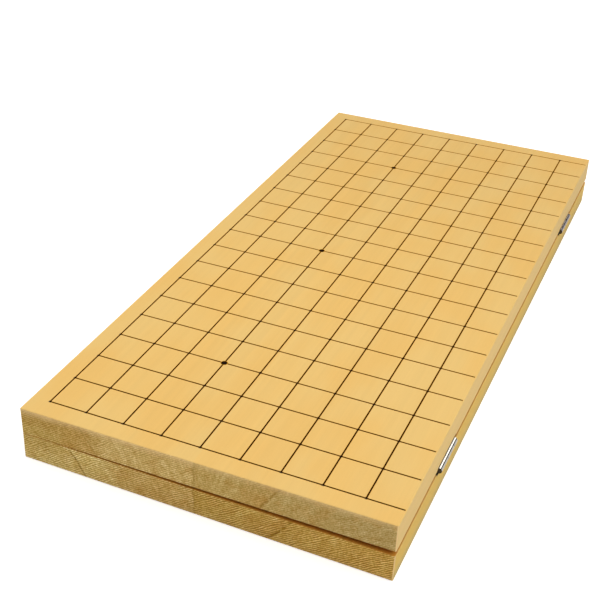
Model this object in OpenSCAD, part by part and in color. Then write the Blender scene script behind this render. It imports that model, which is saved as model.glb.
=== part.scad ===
// A folding go board, shut. Two wooden halves lie back to back with their playing faces outward,
// joined along one long side by two small butt hinges. The hinge barrels hold the fold edges apart,
// so the upper half slopes down to meet the lower one along the free edge.
// x runs across the board from the free edge to the fold, y along it and z up. Sizes are in mm.
// The origin is the middle of the shut board's outline, on the surface that it lies on.

/* [Playing grid] */
// Spacing of the long lines, measured across the board
pitch_across = 22; // [20:0.1:24]
// Spacing of the cross lines, measured along the board
pitch_along = 23.7; // [21.5:0.1:26]
// Width of a printed line
line_w = 0.9; // [0.6:0.05:1.4]
// Ends of the cross lines to the eased fold edge
line_stop = 0.1; // [0.1:0.1:2]
// Depth to which the ink fills the playing face
ink_depth = 0.15; // [0.1:0.05:0.4]
// Diameter of a star point
star_d = 4.1; // [3:0.1:6]

/* [Board halves] */
// Thickness of one half
board_t = 16; // [12:0.5:24]
// First long line to the free edge
edge_margin = 11; // [7:0.5:18]
// Outer cross lines to the ends of the board
end_margin = 11.7; // [7:0.1:18]
// Last long line to the fold edge
fold_margin = 20.3; // [16:0.1:22]
// Width of the stave along the free edge, up to the glued joint
outer_stave_w = 101; // [60:0.5:140]
// Radius of the eased edges round a playing face
face_ease = 0.6; // [0.4:0.1:2]
// Radius of the eased edges round a back
back_ease = 0.2; // [0.1:0.1:0.5]
// Radius of the eased upright corners
corner_ease = 1; // [0.4:0.1:3]
// Gap between the backs along the free edge when the board is shut
shut_gap = 0.1; // [0.05:0.05:0.5]
// Gap between the two fold edges when the board lies open
open_gap = 0.2; // [0.1:0.05:0.6]

/* [Hinges] */
// Length of a hinge
hinge_len = 28; // [25:0.5:36]
// End of the board to the middle of a hinge
hinge_inset = 80.5; // [40:0.5:120]
// Width of a leaf, from the pin's axis to its outer edge
leaf_w = 13; // [11:0.5:18]
// Thickness of the sheet metal that a leaf is bent from
leaf_t = 0.85; // [0.65:0.05:1.1]
// Diameter of the hinge pin
pin_d = 1.7; // [1.3:0.1:2.4]
// Radial play of the pin in its knuckles
pin_play = 0.05; // [0.02:0.01:0.1]
// Play between neighbouring knuckles, along the pin
knuckle_play = 0.2; // [0.1:0.05:0.4]
// Slit between a rolled knuckle's end and its own leaf
roll_slit = 0.2; // [0.1:0.05:0.3]
// Clearance round a barrel, to the cove cut in the wood for it and to the other leaf
barrel_clear = 0.3; // [0.2:0.05:0.5]
// How far a cove runs straight on past each end of its barrel, before its rounded end
cove_run = 1.5; // [0.5:0.5:3]
// Depth that a leaf is let into the back
mortise_depth = 0.25; // [0.15:0.1:0.45]
// Play between a mortise and the ends and edge of its leaf
mortise_play = 1.5; // [0.4:0.1:3]

/* [Screws] */
// Distance between the two screws in a leaf
screw_spacing = 18; // [12:0.5:20]
// Pin's axis to the screws
screw_inset = 8; // [6.5:0.5:9]
// Diameter of a screw's shank
screw_d = 2.1; // [1.6:0.1:2.6]
// Diameter of a screw's countersunk head
head_d = 4.2; // [3.6:0.1:4.8]
// Length of a screw
screw_len = 10; // [7:0.5:11]
// Length of a screw's point
point_len = 2.5; // [1.5:0.1:3.5]
// Play round a screw in its leaf and in the wood
screw_play = 0.05; // [0.02:0.01:0.1]
// Width of the cross-shaped driver recess
recess_w = 0.6; // [0.4:0.1:0.8]
// Length of each arm pair of the driver recess
recess_len = 2.2; // [1.6:0.1:2.6]
// Depth of the driver recess
recess_depth = 0.7; // [0.4:0.1:0.9]

/* [Hidden] */
// The game is played on 19 by 19 lines, of which the middle long one is the fold itself
lines = 19;
// Star points stand on the fourth line from each edge and on the middle line
star_line = 3;
// An odd number of knuckles, so that one leaf holds both ends of the pin
knuckles = 5;
// How far a cutting shape runs past the surface that it cuts
past = 1;
$fn = 64;

long_lines = (lines - 1) / 2;
star_rows = [star_line, long_lines, lines - 1 - star_line];
grid_len = (lines - 1) * pitch_along;
board_len = grid_len + 2 * end_margin;
half_w = edge_margin + (long_lines - 1) * pitch_across + fold_margin;

// A knuckle is rolled round the pin, so the leaf's outer face is tangent to the barrel
bore_r = pin_d / 2 + pin_play;
barrel_r = bore_r + leaf_t;
axis_lift = barrel_r - mortise_depth;
axis_offset = open_gap / 2;
axis_z = board_t + axis_lift;

// The upper half tips about the pin until its free edge nearly meets the lower half
tip_angle = asin((2 * axis_lift - shut_gap) / (half_w + axis_offset));

// How far the upper half reaches from the pin, at its eased top edge, and the middle of that outline
upper_reach = (half_w + axis_offset - face_ease) * cos(tip_angle)
    + (axis_lift + board_t - face_ease) * sin(tip_angle) + face_ease;
axis_x = (upper_reach - barrel_r) / 2;
fold_x = axis_x - axis_offset;
free_x = fold_x - half_w;
joint_x = free_x + outer_stave_w;
first_line_x = free_x + edge_margin;

hinge_y = board_len / 2 - hinge_inset;
knuckle_len = (hinge_len - (knuckles - 1) * knuckle_play) / knuckles;
leaf_top_z = board_t - mortise_depth + leaf_t;
head_len = (head_d - screw_d) / 2;

wood_colour = "#EFC677";
ink_colour = "#1C140C";
plate_colour = "#C9CBCD";

// Turns a shape made for the lower half over on to the top of it, back to back and tipped shut
module turned_over() {
    translate([axis_x, 0, axis_z])
        rotate([0, -tip_angle, 0])
            mirror([0, 0, 1])
                translate([-axis_x, 0, -axis_z])
                    children();
}

// Extrudes a section drawn in x and z along y, centred on y = 0
module along_board(length) {
    translate([0, length / 2, 0])
        rotate([90, 0, 0])
            linear_extrude(length)
                children();
}

// Rectangle standing on y = 0, with one radius on its lower corners and another on its upper ones
module eased_rectangle(width, height, low_r, high_r) {
    translate([-width / 2, low_r])
        square([width, height - low_r - high_r]);
    for (corner = [[low_r, low_r], [high_r, height - high_r]]) {
        translate([corner[0] - width / 2, corner[1] - corner[0]])
            square([width - 2 * corner[0], 2 * corner[0]]);
        for (side = [-1, 1])
            translate([side * (width / 2 - corner[0]), corner[1]])
                circle(corner[0]);
    }
}

// One half as a single block, playing face down, with all its edges eased
module half_block() {
    translate([free_x + half_w / 2, 0, 0])
        intersection() {
            along_board(board_len)
                eased_rectangle(half_w, board_t, face_ease, back_ease);
            rotate([0, 0, 90])
                along_board(half_w)
                    eased_rectangle(board_len, board_t, face_ease, back_ease);
            translate([0, -board_len / 2, 0])
                linear_extrude(board_t)
                    eased_rectangle(half_w, board_len, corner_ease, corner_ease);
        }
}

// Plan of the star points of one half
module star_plan() {
    for (row = star_rows)
        translate([first_line_x + star_line * pitch_across, row * pitch_along - grid_len / 2])
            circle(d = star_d);
}

// Plan of the printed lines of one half. The cross lines run on towards the fold edge.
module line_plan() {
    for (i = [0 : long_lines - 1])
        translate([first_line_x + i * pitch_across - line_w / 2, -(grid_len + line_w) / 2])
            square([line_w, grid_len + line_w]);
    for (row = [0 : lines - 1])
        translate([first_line_x - line_w / 2, row * pitch_along - (grid_len + line_w) / 2])
            square([fold_x - face_ease - line_stop - first_line_x + line_w / 2, line_w]);
}

// Grooves in a playing face that the ink fills, flush with the wood
module ink_grooves() {
    translate([0, 0, -past])
        linear_extrude(past + ink_depth) {
            line_plan();
            star_plan();
        }
}

// Places a hinge part, drawn about y = 0, at the near or the far hinge
module at_hinge(side) {
    translate([0, side * hinge_y, 0])
        children();
}

// A countersunk screw, its head flush with the leaf, or the hole for it when it has play
module screw_body(play) {
    head_r = head_d / 2 + play;
    shank_r = screw_d / 2 + play;
    rotate_extrude()
        polygon([
            [0, 0], [head_r, 0], [shank_r, -head_len],
            [shank_r, point_len - screw_len - play], [0, -screw_len - play]
        ]);
}

// Puts its child at both screw places of the lower leaf of a hinge
module at_screws() {
    for (side = [-1, 1])
        translate([axis_x - screw_inset, side * screw_spacing / 2, leaf_top_z])
            children();
}

// Everything that one hinge needs cut into a back: the mortise, the barrel's cove and screw holes
module hinge_seat() {
    seat_len = hinge_len + 2 * mortise_play;
    seat_x = axis_x - leaf_w - mortise_play;
    translate([seat_x, -seat_len / 2, board_t - mortise_depth])
        cube([fold_x + past - seat_x, seat_len, mortise_depth + past]);
    translate([axis_x, 0, axis_z]) {
        along_board(hinge_len + 2 * cove_run)
            circle(barrel_r + barrel_clear);
        for (side = [-1, 1])
            translate([0, side * (hinge_len / 2 + cove_run), 0])
                sphere(barrel_r + barrel_clear);
    }
    at_screws()
        screw_body(screw_play);
}

// One stave of a half: a slice of the block across x, with the grooves and hinge seats cut in
module stave(from_x, to_x) {
    color(wood_colour)
        difference() {
            intersection() {
                half_block();
                translate([from_x, -board_len, -past])
                    cube([to_x - from_x, 2 * board_len, board_t + 2 * past]);
            }
            ink_grooves();
            for (side = [-1, 1])
                at_hinge(side)
                    hinge_seat();
        }
}

module outer_stave() {
    stave(free_x - past, joint_x);
}

module fold_stave() {
    stave(joint_x, fold_x + past);
}

module grid_lines() {
    color(ink_colour)
        linear_extrude(ink_depth)
            difference() {
                line_plan();
                star_plan();
            }
}

module star_points() {
    color(ink_colour)
        linear_extrude(ink_depth)
            star_plan();
}

// Section of a rolled knuckle about the pin's axis, with the start of its leaf
module knuckle_section() {
    difference() {
        union() {
            circle(barrel_r);
            translate([-2 * barrel_r, -barrel_r])
                square([2 * barrel_r, leaf_t]);
        }
        circle(bore_r);
        translate([-2 * barrel_r, -bore_r])
            square([2 * barrel_r - bore_r / 3, roll_slit]);
    }
}

// Middle of a knuckle along the hinge
function knuckle_y(i) = (i - (knuckles - 1) / 2) * (knuckle_len + knuckle_play);

// A leaf of the lower half, with its own knuckles from number first on, and room for the other leaf's
module leaf(first) {
    color(plate_colour)
        difference() {
            union() {
                translate([axis_x - leaf_w, -hinge_len / 2, board_t - mortise_depth])
                    cube([leaf_w - barrel_r, hinge_len, leaf_t]);
                for (i = [first : 2 : knuckles - 1])
                    translate([axis_x, knuckle_y(i), axis_z])
                        along_board(knuckle_len)
                            knuckle_section();
            }
            for (i = [1 - first : 2 : knuckles - 1])
                translate([axis_x, knuckle_y(i), axis_z])
                    along_board(knuckle_len + 2 * knuckle_play)
                        circle(barrel_r + barrel_clear);
            at_screws()
                screw_body(screw_play);
        }
}

module hinge_pin() {
    color(plate_colour)
        translate([axis_x, 0, axis_z])
            along_board(hinge_len)
                circle(d = pin_d);
}

module screws() {
    color(plate_colour)
        at_screws()
            difference() {
                screw_body(0);
                for (turn = [0, 90])
                    rotate([0, 0, turn])
                        translate([-recess_len / 2, -recess_w / 2, -recess_depth])
                            cube([recess_len, recess_w, recess_depth + past]);
            }
}

outer_stave();  // lower_outer_stave
fold_stave();  // lower_fold_stave
grid_lines();  // lower_grid_lines
star_points();  // lower_star_points
turned_over() outer_stave();  // upper_outer_stave
turned_over() fold_stave();  // upper_fold_stave
turned_over() grid_lines();  // upper_grid_lines
turned_over() star_points();  // upper_star_points
at_hinge(-1) leaf(0);  // near_hinge_lower_leaf
at_hinge(-1) turned_over() leaf(1);  // near_hinge_upper_leaf
at_hinge(-1) hinge_pin();  // near_hinge_pin
at_hinge(-1) screws();  // near_hinge_lower_screws
at_hinge(-1) turned_over() screws();  // near_hinge_upper_screws
at_hinge(1) leaf(0);  // far_hinge_lower_leaf
at_hinge(1) turned_over() leaf(1);  // far_hinge_upper_leaf
at_hinge(1) hinge_pin();  // far_hinge_pin
at_hinge(1) screws();  // far_hinge_lower_screws
at_hinge(1) turned_over() screws();  // far_hinge_upper_screws
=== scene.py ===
"""A folding go board, shut: its wood, ink and plated hinges, on a white studio table."""
import math

import bpy
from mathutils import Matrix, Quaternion, Vector


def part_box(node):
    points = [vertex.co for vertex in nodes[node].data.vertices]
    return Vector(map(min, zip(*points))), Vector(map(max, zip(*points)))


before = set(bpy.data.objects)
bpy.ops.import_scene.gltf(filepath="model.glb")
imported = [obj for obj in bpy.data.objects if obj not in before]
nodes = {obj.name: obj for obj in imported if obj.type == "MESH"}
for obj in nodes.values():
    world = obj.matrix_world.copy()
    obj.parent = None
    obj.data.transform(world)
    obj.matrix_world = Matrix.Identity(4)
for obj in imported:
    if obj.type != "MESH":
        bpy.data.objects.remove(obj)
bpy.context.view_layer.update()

MM = 0.001
PER_MM = 1000.0

# The photograph's camera, in the board's own frame. The picture is a crop, a little right of the lens axis.
PICTURE_PIXELS = 600
FOCAL_PIXELS = 1139.9
LENS_AXIS_PIXEL = 292
SENSOR_MM = 36.0
CAMERA_PLACE_MM = (199.62, -606.48, 396.13)
CAMERA_AIM_MM = (-20.15, -65.87, 34.0)
CAMERA_ROLL_DEG = 2.713

# The patterns in the wood, the ink and the plate: the size of their features in mm across the grain and
# along it, which runs down the board's length, then their detail and a seed. The pores and the plate's
# scratches are far finer than a pixel, so they are drawn as coarse as they need to show.
PATTERNS = {
    "streaks": (0.9, 55.0, 3.0, 0.0),
    "bands": (7.0, 500.0, 2.0, 7.0),
    "clouds": (26.0, 60.0, 2.0, 13.0),
    "ring_wobble": (14.0, 600.0, 3.0, 19.0),
    "pores": (0.9, 20.0, 2.0, 23.0),
    "mottle": (3.0, 40.0, 2.0, 29.0),
    "patches": (7.0, 60.0, 3.0, 31.0),
    "ring_breaks": (2.0, 40.0, 2.0, 37.0),
    "saw_depth": (6.0, 60.0, 2.0, 43.0),
    "highlight_breaks": (9.0, 60.0, 2.0, 53.0),
    "ink_body": (1.2, 1.2, 2.0, 0.0),
    "plate_haze": (2.5, 6.0, 3.0, 0.0),
    "plate_scratches": (0.25, 7.0, 2.0, 3.0),
}
# Most values of a noise pattern lie in this range
NOISE = (0.3, 0.7)
WHOLE = (0.0, 1.0)


def linear(hex_colour):
    """An sRGB hex colour as linear red, green, blue and alpha."""
    channels = [int(hex_colour[i:i + 2], 16) / 255 for i in (1, 3, 5)]
    return [c / 12.92 if c <= 0.04045 else ((c + 0.055) / 1.055) ** 2.4 for c in channels] + [1.0]


def new_tree(name):
    """A new material and its empty node tree."""
    material = bpy.data.materials.new(name)
    material.use_nodes = True
    material.node_tree.nodes.clear()
    return material, material.node_tree


def add(tree, kind, inputs=None, **settings):
    """Adds a node, makes its settings, and sets or links its inputs by name or number."""
    made = tree.nodes.new("ShaderNode" + kind)
    for name, value in settings.items():
        setattr(made, name, value)
    for key, value in (inputs or {}).items():
        if isinstance(value, bpy.types.NodeSocket):
            tree.links.new(value, made.inputs[key])
        else:
            made.inputs[key].default_value = value
    return made.outputs


def grain_noise(tree, place, pattern, seed=0.0):
    """One of the patterns, as noise that is stretched along the grain."""
    across_mm, along_mm, detail, own_seed = PATTERNS[pattern]
    stretched = add(tree, "Mapping", {
        "Vector": place["Object"],
        "Location": (seed + own_seed,) * 3,
        "Scale": (PER_MM / across_mm, PER_MM / along_mm, PER_MM / across_mm),
    })
    return add(tree, "TexNoise", {"Vector": stretched[0], "Scale": 1.0, "Detail": detail})["Fac"]


def ramps(tree, *factors):
    """The product of several factors. Each is a socket, or a soft ramp: a value, what the ramp gives at the
    low end and at the high end of a range, and that range."""
    total = None
    for factor in factors:
        if isinstance(factor, tuple):
            value, at_low, at_high, (low, high) = factor
            factor = add(tree, "MapRange", {
                "Value": value, "From Min": low, "From Max": high, "To Min": at_low, "To Max": at_high,
            }, interpolation_type="SMOOTHSTEP")[0]
        if total is None:
            total = factor
        else:
            total = add(tree, "Math", {0: total, 1: factor}, operation="MULTIPLY")[0]
    return total


def layered(tree, colour, *layers):
    """A colour with others laid over it in turn, each by an amount from 0 to 1."""
    for amount, over in layers:
        colour = add(tree, "Mix", {0: amount, 6: colour, 7: over}, data_type="RGBA")[2]
    return colour


def millimetres_from(tree, place, point):
    """The place on the part, in mm from a point given in metres."""
    return add(tree, "Mapping", {
        "Vector": place["Object"], "Location": -point * PER_MM, "Scale": (PER_MM,) * 3,
    })[0]


# Wood

# The staves are sawn rift, so that the growth rings stand steeply in the end grain. One ring in each is
# dark. It crosses the near end face at these distances from the free edge, at the top and at the foot.
DARK_RINGS_MM = {
    "upper_outer_stave": (34.5, 45.5),
    "lower_outer_stave": (27.5, 38.0),
    "upper_fold_stave": (148.8, 137.2),
    "lower_fold_stave": (154.5, 140.0),
}
PITH_ABOVE = ("lower_fold_stave",)
RING_RADIUS_MM = 85.0
RING_SPACING_MM = 3.0
RING_WOBBLE_MM = 1.6
DARK_RING_WOBBLE_MM = 0.4

# Each stave's look: the colour of its long sides, and of its end grain on its free-edge side and its fold
# side; how far across it, in mm, the one turns into the other; then how dark its ring is, how warm the wood
# beside that, how deep the saw marks on its ends, how strong the painted highlight on its ends along the
# playing face, whether its long side is greyed there by a painted contact shadow and reflection of the
# table, and a seed.
STAVES = {
    "upper_outer_stave": dict(
        side="#EDC87B", left="#CEA452", right="#E3BF71", turn=(28.0, 54.0),
        ring=0.42, glow=0.4, saw=0.2, highlight=0.82, foot_shade=False, seed=0.0),
    "upper_fold_stave": dict(
        side="#EDC87B", left="#D9B668", right="#CBAB66", turn=(0.0, 106.0),
        ring=0.7, glow=0.6, saw=0.12, highlight=0.55, foot_shade=False, seed=40.0),
    "lower_outer_stave": dict(
        side="#E6BE55", left="#EACB78", right="#DAB261", turn=(36.0, 70.0),
        ring=0.75, glow=0.3, saw=0.3, highlight=0.15, foot_shade=True, seed=80.0),
    "lower_fold_stave": dict(
        side="#E6BE55", left="#D2A94F", right="#D8AA4D", turn=(0.0, 106.0),
        ring=0.95, glow=0.6, saw=0.39, highlight=0.15, foot_shade=True, seed=120.0),
}
FACE = "#E9C173"
FACE_CLOUDS = "#EABC69"
# Painted shade: the backs' brown, which darkens the seam between the halves
BACK_SEAM_SHADE = "#CB8D32"
END_GLOW = "#CF9B45"
END_RING = "#A27210"
SEAM_END_TONE = "#D4B05D"
# Painted contact shadow and reflection of the table: grey on the lower staves' long sides by the foot
FOOT_SHADE_GREY = "#CCB26C"
# Painted highlight on the ends' edges along the playing face and on the upright corners
EDGE_HIGHLIGHT = "#FED998"
# Painted shade in and round the hinges' coves, and past the barrels' ends
COVE_SHADE = "#0C0805"
INK_STAIN = "#E49E0A"

# Where these begin and end, in mm: depths are from the playing face, and reaches from the free edge
BACK_DEPTH_MM = (15.7, 15.95)
FOOT_SHADE_DEPTH_MM = (0.5, 9.0)
EDGE_HIGHLIGHT_DEPTH_MM = (-1.0, 4.8)
SEAM_TONE_DEPTH_MM = (4.0, 13.0)
SEAM_TONE_REACH_MM = (17.0, 33.0)
UNSHADED_ARRIS_REACH_MM = (10.0, 55.0)

# How far from the fold the back's painted seam shade stops, and where along the board the faces' painted
# shade darkens them toward the far end
UNSHADED_FOLD_MM = 0.8
FAR_END_SHADE_MM = (-100.0, 250.0)

# Distances from the dark ring, toward the fold, and to either side of it and of the glue joint
WARM_BEFORE_RING_MM = (-16.0, -1.0)
WARM_ENDS_MM = (-0.5, 1.0)
RING_HALF_MM = (0.1, 1.2)
GLUE_HALF_MM = (0.2, 1.6)
GLUE_DARKNESS = 0.33

# Each tooth of the saw has left strokes a few mm long
SAW_PITCH_MM = 1.15
SAW_STROKE_MM = 3.0
SAW_ALONG_GRAIN_MM = 20.0
SAW_SLANT_DEG = 55.0
ONE_WAVE_PER_UNIT = math.pi / 10

# A face turns square on to an axis as that part of its normal rises through the first range, and leaves an
# end's edge as it falls through the second. On a corner, the product of two parts rises through the third.
SQUARE_ON = (0.6, 0.97)
OFF_EDGE = (0.2, 0.5)
CORNER = (0.3, 0.47)

# The printed grid, whose ink has soaked sideways into the wood over a little of its width
INK = "#120500"
THIN_INK = "#865200"
LINE_MM = 0.9
PITCH_MM = {"X": 22.0, "Y": 23.7}
SOAK_MM = (0.42, 0.62)
SOAK_PAST_END_MM = 0.2
SOAK_DEPTH_MM = (0.02, 0.1)
CROSSING_MM = (0.5, 1.0)

# The painted shade in and round the hinges' coves, from the hinge's axis and past its ends
COVE_SHADE_RADIUS_MM = (2.2, 3.2)
COVE_SHADE_PAST_END_MM = (0.5, 3.5)
COVE_SHADE_FADES_MM = 4.0


def ring_centre(stave):
    """The pith that a stave's dark ring runs round, as x and z in mm, below the board or above it, and 1 or
    -1 as the rings widen toward the fold or away from it."""
    low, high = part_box(stave)
    free_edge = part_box(stave.replace("fold", "outer"))[0].x
    top, foot = (free_edge * PER_MM + along for along in DARK_RINGS_MM[stave])
    chord = Vector((foot - top, (low.z - high.z) * PER_MM))
    middle = Vector(((top + foot) / 2, (low.z + high.z) / 2 * PER_MM))
    across = Vector((chord.y, -chord.x)).normalized()
    if (across.y > 0) != (stave in PITH_ABOVE):
        across.negate()
    pith = middle + across * math.sqrt(RING_RADIUS_MM ** 2 - chord.length_squared / 4)
    return pith, math.copysign(1.0, middle.x - pith.x)


def playing_face(stave):
    """A point on the playing face of a stave's half, and the direction from there into the wood."""
    half = stave.split("_")[0]
    low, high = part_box(f"{half}_fold_stave")
    if half == "lower":
        return low, Vector((0.0, 0.0, 1.0))
    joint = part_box(f"{half}_outer_stave")[1]
    slope = (high.z - joint.z) / (high.x - joint.x)
    return high, Vector((slope, 0.0, -1.0)).normalized()


def growth_rings(tree, place, stave, seed):
    """A pattern of years, no two alike, and the distance in mm past the dark ring toward the fold."""
    pith, widening = ring_centre(stave)
    from_pith = add(tree, "Mapping", {
        "Vector": place["Object"],
        "Location": (-pith.x, 0.0, -pith.y),
        "Scale": (PER_MM, 0.0, PER_MM),
    })
    radius = add(tree, "VectorMath", {0: from_pith[0]}, operation="LENGTH")["Value"]
    wobble = ramps(tree, (grain_noise(tree, place, "ring_wobble", seed), -1.0, 1.0, NOISE))
    uneven = add(tree, "Math", {0: wobble, 1: RING_WOBBLE_MM, 2: radius}, operation="MULTIPLY_ADD")[0]
    years = add(tree, "Math", {0: uneven, 1: RING_SPACING_MM}, operation="DIVIDE")[0]
    rings = add(tree, "TexNoise", {"W": years, "Scale": 1.0, "Detail": 3.0}, noise_dimensions="1D")["Fac"]
    past = add(tree, "Math", {0: radius, 1: RING_RADIUS_MM}, operation="SUBTRACT")[0]
    past = add(tree, "Math", {0: wobble, 1: DARK_RING_WOBBLE_MM, 2: past}, operation="MULTIPLY_ADD")[0]
    past = add(tree, "Math", {0: past, 1: widening}, operation="MULTIPLY")[0]
    return rings, past


def long_grain(tree, place, depth, rings, on_side, on_shaded_back, look):
    """A straw base, warmer in the clouds and darkened toward the far end with painted shade, with the
    faintest of streaks, bands and ring lines. The backs, which lie underneath in play, are left rough, and
    a brown painted shade on them darkens the seam between the halves."""
    along = add(tree, "SeparateXYZ", {0: place["Object"]})["Y"]
    clouds = grain_noise(tree, place, "clouds", look["seed"])
    streaks = grain_noise(tree, place, "streaks", look["seed"])
    bands = grain_noise(tree, place, "bands", look["seed"])
    face = layered(tree, linear(FACE), (ramps(tree, (clouds, 0.0, 1.0, NOISE)), linear(FACE_CLOUDS)))
    side = linear(look["side"])
    # A painted contact shadow and reflection of the table grey the long side near the foot
    if look["foot_shade"]:
        side = layered(tree, side, (ramps(tree, (depth, 1.0, 0.0, FOOT_SHADE_DEPTH_MM)), linear(FOOT_SHADE_GREY)))
    # The back's brown is painted shade, which darkens the seam between the halves
    colour = layered(tree, face, (on_side, side), (on_shaded_back, linear(BACK_SEAM_SHADE)))
    # Besides the fine grain, painted shade darkens the faces and sides toward the far end
    sanded = ramps(
        tree, (streaks, 0.992, 1.008, NOISE), (bands, 0.988, 1.012, NOISE), (rings, 1.008, 0.99, NOISE),
        (along, 1.025, 0.92, [place_mm * MM for place_mm in FAR_END_SHADE_MM]))
    rough = ramps(
        tree, (streaks, 0.965, 1.035, NOISE), (bands, 0.96, 1.04, NOISE), (rings, 1.04, 0.93, NOISE))
    shade = ramps(tree, (on_shaded_back, sanded, rough, WHOLE))
    return add(tree, "VectorMath", {0: colour, "Scale": shade}, operation="SCALE")[0]


def saw_marks(tree, place, look):
    """The shade of slanting strokes, deeper in some places than in others."""
    slant = add(tree, "Mapping", {
        "Vector": place["Object"],
        "Rotation": (0.0, math.radians(SAW_SLANT_DEG), 0.0),
        "Scale": (SAW_PITCH_MM * MM, SAW_ALONG_GRAIN_MM * MM, SAW_STROKE_MM * MM),
    }, vector_type="TEXTURE")
    strokes = add(tree, "TexWave", {
        "Vector": slant[0], "Scale": ONE_WAVE_PER_UNIT,
        "Distortion": 5.0, "Detail": 2.0, "Detail Scale": 1.0,
    })["Fac"]
    uneven = grain_noise(tree, place, "saw_depth", look["seed"])
    return add(tree, "Math", {
        0: ramps(tree, (strokes, -1.0, 1.0, WHOLE)),
        1: ramps(tree, (uneven, 0.5 * look["saw"], look["saw"], NOISE)),
        2: 1.0,
    }, operation="MULTIPLY_ADD")[0]


def end_grain(tree, place, depth, stave, rings, past_ring, look):
    """Sawn end grain and its shade: dull straw, warm on the near side of the thin dark ring, with pores,
    ring lines and slanting saw marks. On the outer staves the colour turns to one tone near the seam by
    the free edge."""
    low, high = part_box(stave)
    across = add(tree, "SeparateXYZ", {0: place["Object"]})["X"]
    turned = ramps(tree, (across, 0.0, 1.0, [low.x + turn * MM for turn in look["turn"]]))
    colour = layered(tree, linear(look["left"]), (turned, linear(look["right"])))
    if "outer" in stave:
        seam_tone = ramps(
            tree, (depth, 0.0, 1.0, SEAM_TONE_DEPTH_MM),
            (across, 1.0, 0.0, [low.x + reach * MM for reach in SEAM_TONE_REACH_MM]))
        colour = layered(tree, colour, (seam_tone, linear(SEAM_END_TONE)))

    patches = grain_noise(tree, place, "patches", look["seed"])
    beside_ring = ramps(
        tree, (past_ring, 0.0, look["glow"], WARM_BEFORE_RING_MM), (past_ring, 1.0, 0.0, WARM_ENDS_MM),
        (patches, 0.3, 1.0, (0.35, 0.6)))
    warm_patches = ramps(tree, (patches, 0.0, 0.4, (0.48, 0.7)))
    warmth = add(tree, "Math", {0: warm_patches, 1: beside_ring}, operation="MAXIMUM")[0]

    off_ring = add(tree, "Math", {0: past_ring}, operation="ABSOLUTE")[0]
    breaks = grain_noise(tree, place, "ring_breaks", look["seed"])
    dark_ring = ramps(tree, (off_ring, look["ring"], 0.0, RING_HALF_MM), (breaks, 0.3, 1.0, (0.35, 0.55)))
    joint = high.x if "outer" in stave else low.x
    past_joint = add(tree, "Math", {0: across, 1: joint}, operation="SUBTRACT")[0]
    off_joint = add(tree, "Math", {0: past_joint}, operation="ABSOLUTE")[0]
    glue_line = ramps(
        tree, (off_joint, GLUE_DARKNESS, 0.0, [half * MM for half in GLUE_HALF_MM]),
        (patches, 0.2, 1.0, (0.35, 0.55)))
    marked = add(tree, "Math", {0: dark_ring, 1: glue_line}, operation="MAXIMUM")[0]
    colour = layered(tree, colour, (warmth, linear(END_GLOW)), (marked, linear(END_RING)))

    pores = grain_noise(tree, place, "pores", look["seed"])
    mottle = grain_noise(tree, place, "mottle", look["seed"])
    shade = ramps(
        tree, (pores, 0.85, 1.14, NOISE), (mottle, 0.94, 1.06, NOISE), (rings, 1.05, 0.94, NOISE),
        saw_marks(tree, place, look))
    browner_as_darker = add(tree, "VectorMath", {0: shade, 1: (1.0, 1.5, 2.9)}, operation="POWER")[0]
    return add(tree, "VectorMath", {0: colour, 1: browner_as_darker}, operation="MULTIPLY")[0], shade


def cove_shade_mask(tree, place):
    """Where shade is painted dark: 1 in and round the coves that the hinge barrels lie in, and tapering
    past their ends. Along the far hinge it is painted weaker, except at its near end."""
    low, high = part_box("far_hinge_pin")
    low_mm, high_mm = low.y * PER_MM, high.y * PER_MM
    axis = Vector(((low.x + high.x) / 2, 0.0, (low.z + high.z) / 2))
    off_axis = add(tree, "SeparateXYZ", {0: millimetres_from(tree, place, axis)})
    from_middle = add(tree, "Math", {0: off_axis["Y"]}, operation="ABSOLUTE")[0]
    from_hinge = add(tree, "Math", {0: from_middle, 1: (low_mm + high_mm) / 2}, operation="SUBTRACT")[0]
    from_hinge = add(tree, "Math", {0: from_hinge}, operation="ABSOLUTE")[0]
    past_end = add(tree, "Math", {0: from_hinge, 1: (high_mm - low_mm) / 2}, operation="SUBTRACT")[0]
    flat = add(tree, "CombineXYZ", {"X": off_axis["X"], "Z": off_axis["Z"]})[0]
    radius = add(tree, "VectorMath", {0: flat}, operation="LENGTH")["Value"]
    return ramps(
        tree, (radius, 1.0, 0.0, COVE_SHADE_RADIUS_MM), (past_end, 1.0, 0.0, COVE_SHADE_PAST_END_MM),
        (off_axis["Y"], 1.0, 0.35, (low_mm, low_mm + COVE_SHADE_FADES_MM)))


def off_line(tree, place, grid, across):
    """The distance in mm from the middle of the nearest line, of the lines spaced along one axis."""
    past_first = add(tree, "SeparateXYZ", {0: millimetres_from(tree, place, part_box(grid)[0])})[across]
    centred = add(tree, "Math", {0: past_first, 1: LINE_MM / 2}, operation="SUBTRACT")[0]
    return add(tree, "Math", {0: centred, 1: PITCH_MM[across] / 2}, operation="PINGPONG")[0]


def off_crossing(tree, place, grid):
    """The distance in mm from the nearest crossing of two lines, the larger of its two parts."""
    return add(tree, "Math", {
        0: off_line(tree, place, grid, "X"), 1: off_line(tree, place, grid, "Y"),
    }, operation="MAXIMUM")[0]


def beside_lines(tree, place, grid):
    """1 along the edges of the printed lines, where a little of the ink has soaked sideways."""
    low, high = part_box(grid)
    past_middle = add(tree, "SeparateXYZ", {0: millimetres_from(tree, place, (low + high) / 2)})
    half_size = {"X": (high.x - low.x) / 2 * PER_MM, "Y": (high.y - low.y) / 2 * PER_MM}
    soaked = []
    for across, along in (("X", "Y"), ("Y", "X")):
        along_line = add(tree, "Math", {0: past_middle[along]}, operation="ABSOLUTE")[0]
        soaked.append(ramps(
            tree, (off_line(tree, place, grid, across), 1.0, 0.0, SOAK_MM),
            (along_line, 1.0, 0.0, (half_size[along], half_size[along] + SOAK_PAST_END_MM))))
    return add(tree, "Math", {0: soaked[0], 1: soaked[1]}, operation="MAXIMUM")[0]


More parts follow.
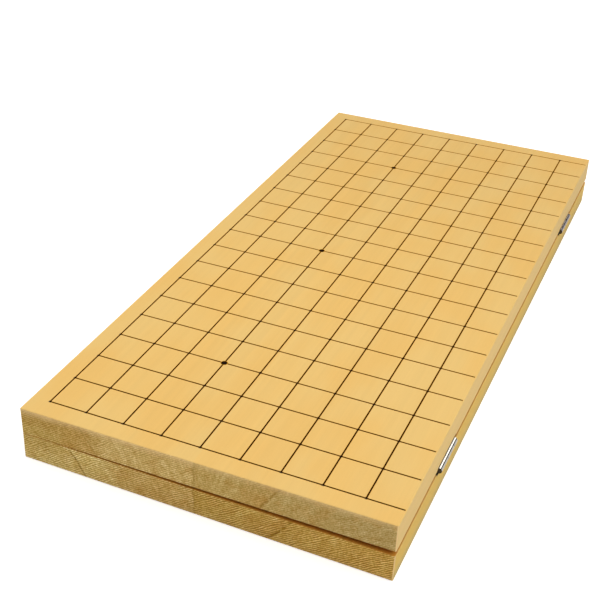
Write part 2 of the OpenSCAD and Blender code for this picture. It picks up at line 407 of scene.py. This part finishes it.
def planed_softwood(stave, look):
    """Straw-coloured softwood, planed and sanded, with a thin matt seal. The long-grain faces are even
    and dull. The sawn ends are darker and drier, with growth rings, pores and slanting saw marks. A
    highlight is painted pale on the ends along the playing face and on the corners, and shade is painted
    dark in and round the hinges' coves."""
    material, tree = new_tree(f"planed_softwood_{stave}")
    place = add(tree, "TexCoord")
    across = add(tree, "SeparateXYZ", {0: place["Object"]})["X"]
    point, inward = playing_face(stave)
    depth = add(tree, "VectorMath", {
        0: millimetres_from(tree, place, point), 1: inward,
    }, operation="DOT_PRODUCT")["Value"]

    # The ends are the faces that look along the grain
    facing = add(tree, "VectorMath", {0: place["Normal"]}, operation="ABSOLUTE")[0]
    facing = add(tree, "SeparateXYZ", {0: facing})
    on_end = ramps(tree, (facing["Y"], 0.0, 1.0, SQUARE_ON))
    on_side = ramps(tree, (facing["X"], 0.0, 1.0, SQUARE_ON))

    # The back's painted seam shade stops short of the fold, and of its end edges by the free edge
    free_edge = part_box(stave.replace("fold", "outer"))[0].x
    fold_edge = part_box(stave.replace("outer", "fold"))[1].x
    off_unshaded_arris = add(tree, "Math", {
        0: ramps(tree, (across, 0.0, 1.0, [free_edge + reach * MM for reach in UNSHADED_ARRIS_REACH_MM])),
        1: ramps(tree, (facing["Y"], 1.0, 0.0, OFF_EDGE)),
    }, operation="MAXIMUM")[0]
    on_shaded_back = ramps(
        tree, (depth, 0.0, 1.0, BACK_DEPTH_MM),
        (across, 1.0, 0.0, (fold_edge - UNSHADED_FOLD_MM * MM, fold_edge)), off_unshaded_arris)

    # The painted highlight on the ends runs round the playing face, in uneven patches, and the corners get
    # it too
    highlight_breaks = grain_noise(tree, place, "highlight_breaks", look["seed"])
    end_edge_highlight = ramps(tree, on_end, (depth, look["highlight"], 0.0, EDGE_HIGHLIGHT_DEPTH_MM), (highlight_breaks, 0.7, 1.15, NOISE))
    on_corner = ramps(tree, (ramps(tree, facing["X"], facing["Y"]), 0.0, 0.9, CORNER))
    painted_highlight = add(tree, "Math", {0: end_edge_highlight, 1: on_corner}, operation="MAXIMUM")[0]

    grid = stave.split("_")[0] + "_grid_lines"
    on_face = ramps(tree, (depth, 1.0, 0.0, SOAK_DEPTH_MM))
    soaked = ramps(tree, beside_lines(tree, place, grid), on_face)
    in_corners = ramps(tree, (off_crossing(tree, place, grid), 0.85, 0.0, CROSSING_MM), on_face)
    rings, past_ring = growth_rings(tree, place, stave, look["seed"])
    end, end_shade = end_grain(tree, place, depth, stave, rings, past_ring, look)
    colour = layered(
        tree, long_grain(tree, place, depth, rings, on_side, on_shaded_back, look),
        (soaked, linear(INK_STAIN)), (in_corners, linear(INK)),
        (on_end, end), (painted_highlight, linear(EDGE_HIGHLIGHT)))
    # Shade is painted dark in and round the hinges' coves
    if "fold" in stave:
        colour = layered(tree, colour, (cove_shade_mask(tree, place), linear(COVE_SHADE)))

    relief = ramps(tree, on_end, end_shade)
    bump = add(tree, "Bump", {"Height": relief, "Strength": 0.3, "Distance": 0.03 * MM})[0]
    surface = add(tree, "BsdfPrincipled", {
        "Base Color": colour, "Roughness": ramps(tree, (on_end, 0.58, 0.8, WHOLE)), "IOR": 1.5,
        "Specular IOR Level": 0.25, "Normal": bump,
    })[0]
    add(tree, "OutputMaterial", {"Surface": surface})
    return material


# Ink

# Distances from the middle of a line or a dot at which its ink gives way to a stain
LINE_FEATHER_MM = (0.33, 0.5)
DOT_FEATHER_MM = (1.6, 2.05)

# The ink thins down the board's length, but less in the long lines, and not at the crossings
INK_THINS_MM = (-300.0, 260.0)
LONG_LINE_THINS = 0.45
LONG_LINE_HALF_MM = (0.45, 0.55)
CROSSING_HALF_MM = (0.45, 1.2)


def off_dot(tree, place, dots):
    """The distance in mm from the middle of the nearest of three dots in a row."""
    low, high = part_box(dots)
    size = high.x - low.x
    first = Vector((low.x + size / 2, low.y + size / 2, low.z))
    past_first = add(tree, "SeparateXYZ", {0: millimetres_from(tree, place, first)})
    spacing = (high.y - low.y - size) / 2 * PER_MM
    along = add(tree, "Math", {0: past_first["Y"], 1: spacing / 2}, operation="PINGPONG")[0]
    flat = add(tree, "CombineXYZ", {"X": past_first["X"], "Y": along})[0]
    return add(tree, "VectorMath", {0: flat}, operation="LENGTH")["Value"]


def printed_ink(node_name):
    """Black ink, printed on bare wood, which has drunk it in. It is matt and near black, and feathers out
    to a stain at its edges. The lines show brown where their ink lies thin, as it does toward the far end,
    less so in the long lines, and not at all where two lines cross."""
    material, tree = new_tree(f"printed_black_ink_{node_name}")
    place = add(tree, "TexCoord")
    body = grain_noise(tree, place, "ink_body")
    if node_name.endswith("_lines"):
        along = add(tree, "SeparateXYZ", {0: place["Object"]})["Y"]
        off_long = off_line(tree, place, node_name, "X")
        off_any = add(tree, "Math", {
            0: off_long, 1: off_line(tree, place, node_name, "Y"),
        }, operation="MINIMUM")[0]
        feather = ramps(tree, (off_any, 0.0, 1.0, LINE_FEATHER_MM))
        thin = ramps(
            tree, (along, 0.0, 1.0, [place_mm * MM for place_mm in INK_THINS_MM]),
            (body, 0.85, 1.15, NOISE), (off_long, LONG_LINE_THINS, 1.0, LONG_LINE_HALF_MM),
            (off_crossing(tree, place, node_name), 0.0, 1.0, CROSSING_HALF_MM))
    else:
        feather = ramps(tree, (off_dot(tree, place, node_name), 0.0, 1.0, DOT_FEATHER_MM))
        thin = ramps(tree, (body, 0.0, 0.05, NOISE))
    surface = add(tree, "BsdfPrincipled", {
        "Base Color": layered(tree, linear(INK), (thin, linear(THIN_INK)), (feather, linear(INK_STAIN))),
        "Roughness": ramps(tree, (body, 0.65, 0.8, NOISE)), "IOR": 1.5, "Specular IOR Level": 0.04,
    })[0]
    add(tree, "OutputMaterial", {"Surface": surface})
    return material


# Metal

HAZED_PLATE = "#A59C8C"
# Painted shade on the ends that face along the pin: dark, dull steel
END_SHADE_STEEL = "#5C564E"
# A sheared end is this square on to the pin's axis
SHEARED = (0.9, 0.98)


def nickel_plate(name, hex_colour, roughness):
    """Bright nickel over steel. It mirrors the white room in warm grey, dulled a little by handling. The
    sheared ends, which face along the pin, get painted shade, dark and dull."""
    material, tree = new_tree(name)
    place = add(tree, "TexCoord")
    haze = grain_noise(tree, place, "plate_haze")
    scratches = grain_noise(tree, place, "plate_scratches")
    hazed = ramps(tree, (haze, 0.0, 0.4, (0.45, 0.8)))
    bump = add(tree, "Bump", {"Height": scratches, "Strength": 0.15, "Distance": 0.01 * MM})[0]
    plate = add(tree, "BsdfPrincipled", {
        "Base Color": layered(tree, linear(hex_colour), (hazed, linear(HAZED_PLATE))), "Metallic": 1.0,
        "Roughness": ramps(tree, (haze, roughness[0], roughness[1], NOISE)), "Normal": bump,
    })[0]
    shaded_end = add(tree, "BsdfPrincipled", {
        "Base Color": linear(END_SHADE_STEEL), "Metallic": 1.0, "Roughness": 0.5,
    })[0]
    facing = add(tree, "VectorMath", {0: place["Normal"]}, operation="ABSOLUTE")[0]
    sheared = ramps(tree, (add(tree, "SeparateXYZ", {0: facing})["Y"], 0.0, 1.0, SHEARED))
    surface = add(tree, "MixShader", {0: sheared, 1: plate, 2: shaded_end})[0]
    add(tree, "OutputMaterial", {"Surface": surface})
    return material


def dress(node_name, material):
    """Gives a CAD node its one material."""
    slots = nodes[node_name].data.materials
    slots.clear()
    slots.append(material)


rolled_sheet = nickel_plate("nickel_plated_rolled_sheet", "#C4C0B8", (0.08, 0.14))
# The far hinge's leaves are a darker copy of the same plate: painted shade
far_sheet_painted_darker = nickel_plate("nickel_plated_rolled_sheet_painted_darker", "#A39B9B", (0.22, 0.3))
drawn_wire = nickel_plate("nickel_plated_drawn_wire", "#C2BEB6", (0.12, 0.2))
headed_screw = nickel_plate("nickel_plated_headed_screw", "#C0BBB2", (0.16, 0.3))
for node_name in nodes:
    if node_name in STAVES:
        dress(node_name, planed_softwood(node_name, STAVES[node_name]))
    elif node_name.endswith(("_lines", "_points")):
        dress(node_name, printed_ink(node_name))
    elif node_name.endswith("_leaf"):
        dress(node_name, far_sheet_painted_darker if node_name.startswith("far") else rolled_sheet)
    elif node_name.endswith("_pin"):
        dress(node_name, drawn_wire)
    else:
        dress(node_name, headed_screw)


# Stage

FLOOR_HALF_M = 6.0
FLOOR_DROP_M = 0.1 * MM
FLOOR_LIFT = 0.5
ROOM_FILL = 0.1
ROOM_SEEN = 1.0

# A broad softbox overhead, to the right of the far end, so far off that it lights the table evenly
SOFTBOX_FROM = (0.2, 0.12, 0.97)
SOFTBOX_ANGLE_DEG = 100.0
SOFTBOX_STRENGTH = 2.93

CARD_RADIUS_M = 2.5
CARD_HEIGHTS_M = (0.35, 1.45)
CARD_SIDES = 48


def seen_directly(tree):
    """1 for rays from the camera, or through a mirror or glass, and 0 for light that bounces."""
    ray = add(tree, "LightPath")
    seen = add(tree, "Math", {0: ray["Is Camera Ray"], 1: ray["Is Glossy Ray"]}, operation="MAXIMUM")[0]
    return add(tree, "Math", {0: seen, 1: ray["Is Transmission Ray"]}, operation="MAXIMUM")[0]


def stage_mesh(name, points, faces, material):
    """A stage object, which isn't part of the board."""
    mesh = bpy.data.meshes.new(name)
    mesh.from_pydata(points, [], faces)
    mesh.materials.append(material)
    made = bpy.data.objects.new(name, mesh)
    bpy.context.scene.collection.objects.link(made)
    return made


def white_table():
    """A plain white table top. The camera sees it lifted to white, and it keeps the board's shadow."""
    material, tree = new_tree("white_laminate")
    matt = add(tree, "BsdfDiffuse", {"Color": linear("#EEEEEE")})[0]
    seen = add(tree, "LightPath")["Is Camera Ray"]
    lift = add(tree, "Math", {0: seen, 1: FLOOR_LIFT}, operation="MULTIPLY")[0]
    glow = add(tree, "Emission", {"Strength": lift})[0]
    surface = add(tree, "AddShader", {0: matt, 1: glow})[0]
    add(tree, "OutputMaterial", {"Surface": surface})
    h = FLOOR_HALF_M
    corners = [(x, y, -FLOOR_DROP_M) for x, y in ((-h, -h), (h, -h), (h, h), (-h, h))]
    stage_mesh("table_top", corners, [(0, 1, 2, 3)], material)


def white_room():
    """A white surround that fills the shadows softly and shows as plain white."""
    world = bpy.data.worlds.new("white_room")
    world.use_nodes = True
    tree = world.node_tree
    tree.nodes.clear()
    level = add(tree, "MapRange", {
        "Value": seen_directly(tree), "To Min": ROOM_FILL, "To Max": ROOM_SEEN,
    })[0]
    light = add(tree, "Background", {"Color": linear("#FFFFFF"), "Strength": level})[0]
    add(tree, "OutputWorld", {"Surface": light})
    bpy.context.scene.world = world


def hang_softbox():
    """The one lamp, a sun as wide as a softbox looks from the table."""
    lamp = bpy.data.lights.new("overhead_softbox", "SUN")
    lamp.angle = math.radians(SOFTBOX_ANGLE_DEG)
    lamp.energy = SOFTBOX_STRENGTH
    box = bpy.data.objects.new("overhead_softbox", lamp)
    box.rotation_mode = "QUATERNION"
    box.rotation_quaternion = (-Vector(SOFTBOX_FROM)).to_track_quat("-Z", "Y")
    bpy.context.scene.collection.objects.link(box)


def ring_of_card():
    """Dark card round the table, which only mirrors see. It gives the metal its dark stripe."""
    material, tree = new_tree("matt_black_card")
    surface = add(tree, "BsdfDiffuse", {"Color": linear("#303032")})[0]
    add(tree, "OutputMaterial", {"Surface": surface})
    turns = [2 * math.pi * i / CARD_SIDES for i in range(CARD_SIDES)]
    points = [
        (CARD_RADIUS_M * math.cos(turn), CARD_RADIUS_M * math.sin(turn), height)
        for height in CARD_HEIGHTS_M for turn in turns
    ]
    faces = [
        (i, (i + 1) % CARD_SIDES, (i + 1) % CARD_SIDES + CARD_SIDES, i + CARD_SIDES)
        for i in range(CARD_SIDES)
    ]
    card = stage_mesh("dark_card", points, faces, material)
    card.visible_camera = False
    card.visible_diffuse = False
    card.visible_shadow = False


def set_camera():
    """The photograph's viewpoint."""
    lens = bpy.data.cameras.new("camera")
    lens.sensor_width = SENSOR_MM
    lens.lens = FOCAL_PIXELS / PICTURE_PIXELS * SENSOR_MM
    lens.shift_x = (PICTURE_PIXELS / 2 - LENS_AXIS_PIXEL) / PICTURE_PIXELS
    lens.clip_start = 0.01
    camera = bpy.data.objects.new("camera", lens)
    camera.location = Vector(CAMERA_PLACE_MM) * MM
    sight = (Vector(CAMERA_AIM_MM) - Vector(CAMERA_PLACE_MM)).to_track_quat("-Z", "Y")
    camera.rotation_mode = "QUATERNION"
    camera.rotation_quaternion = sight @ Quaternion((0.0, 0.0, 1.0), math.radians(CAMERA_ROLL_DEG))
    bpy.context.scene.collection.objects.link(camera)
    bpy.context.scene.camera = camera


white_table()
white_room()
hang_softbox()
ring_of_card()
set_camera()
bpy.context.scene.view_settings.view_transform = "Standard"
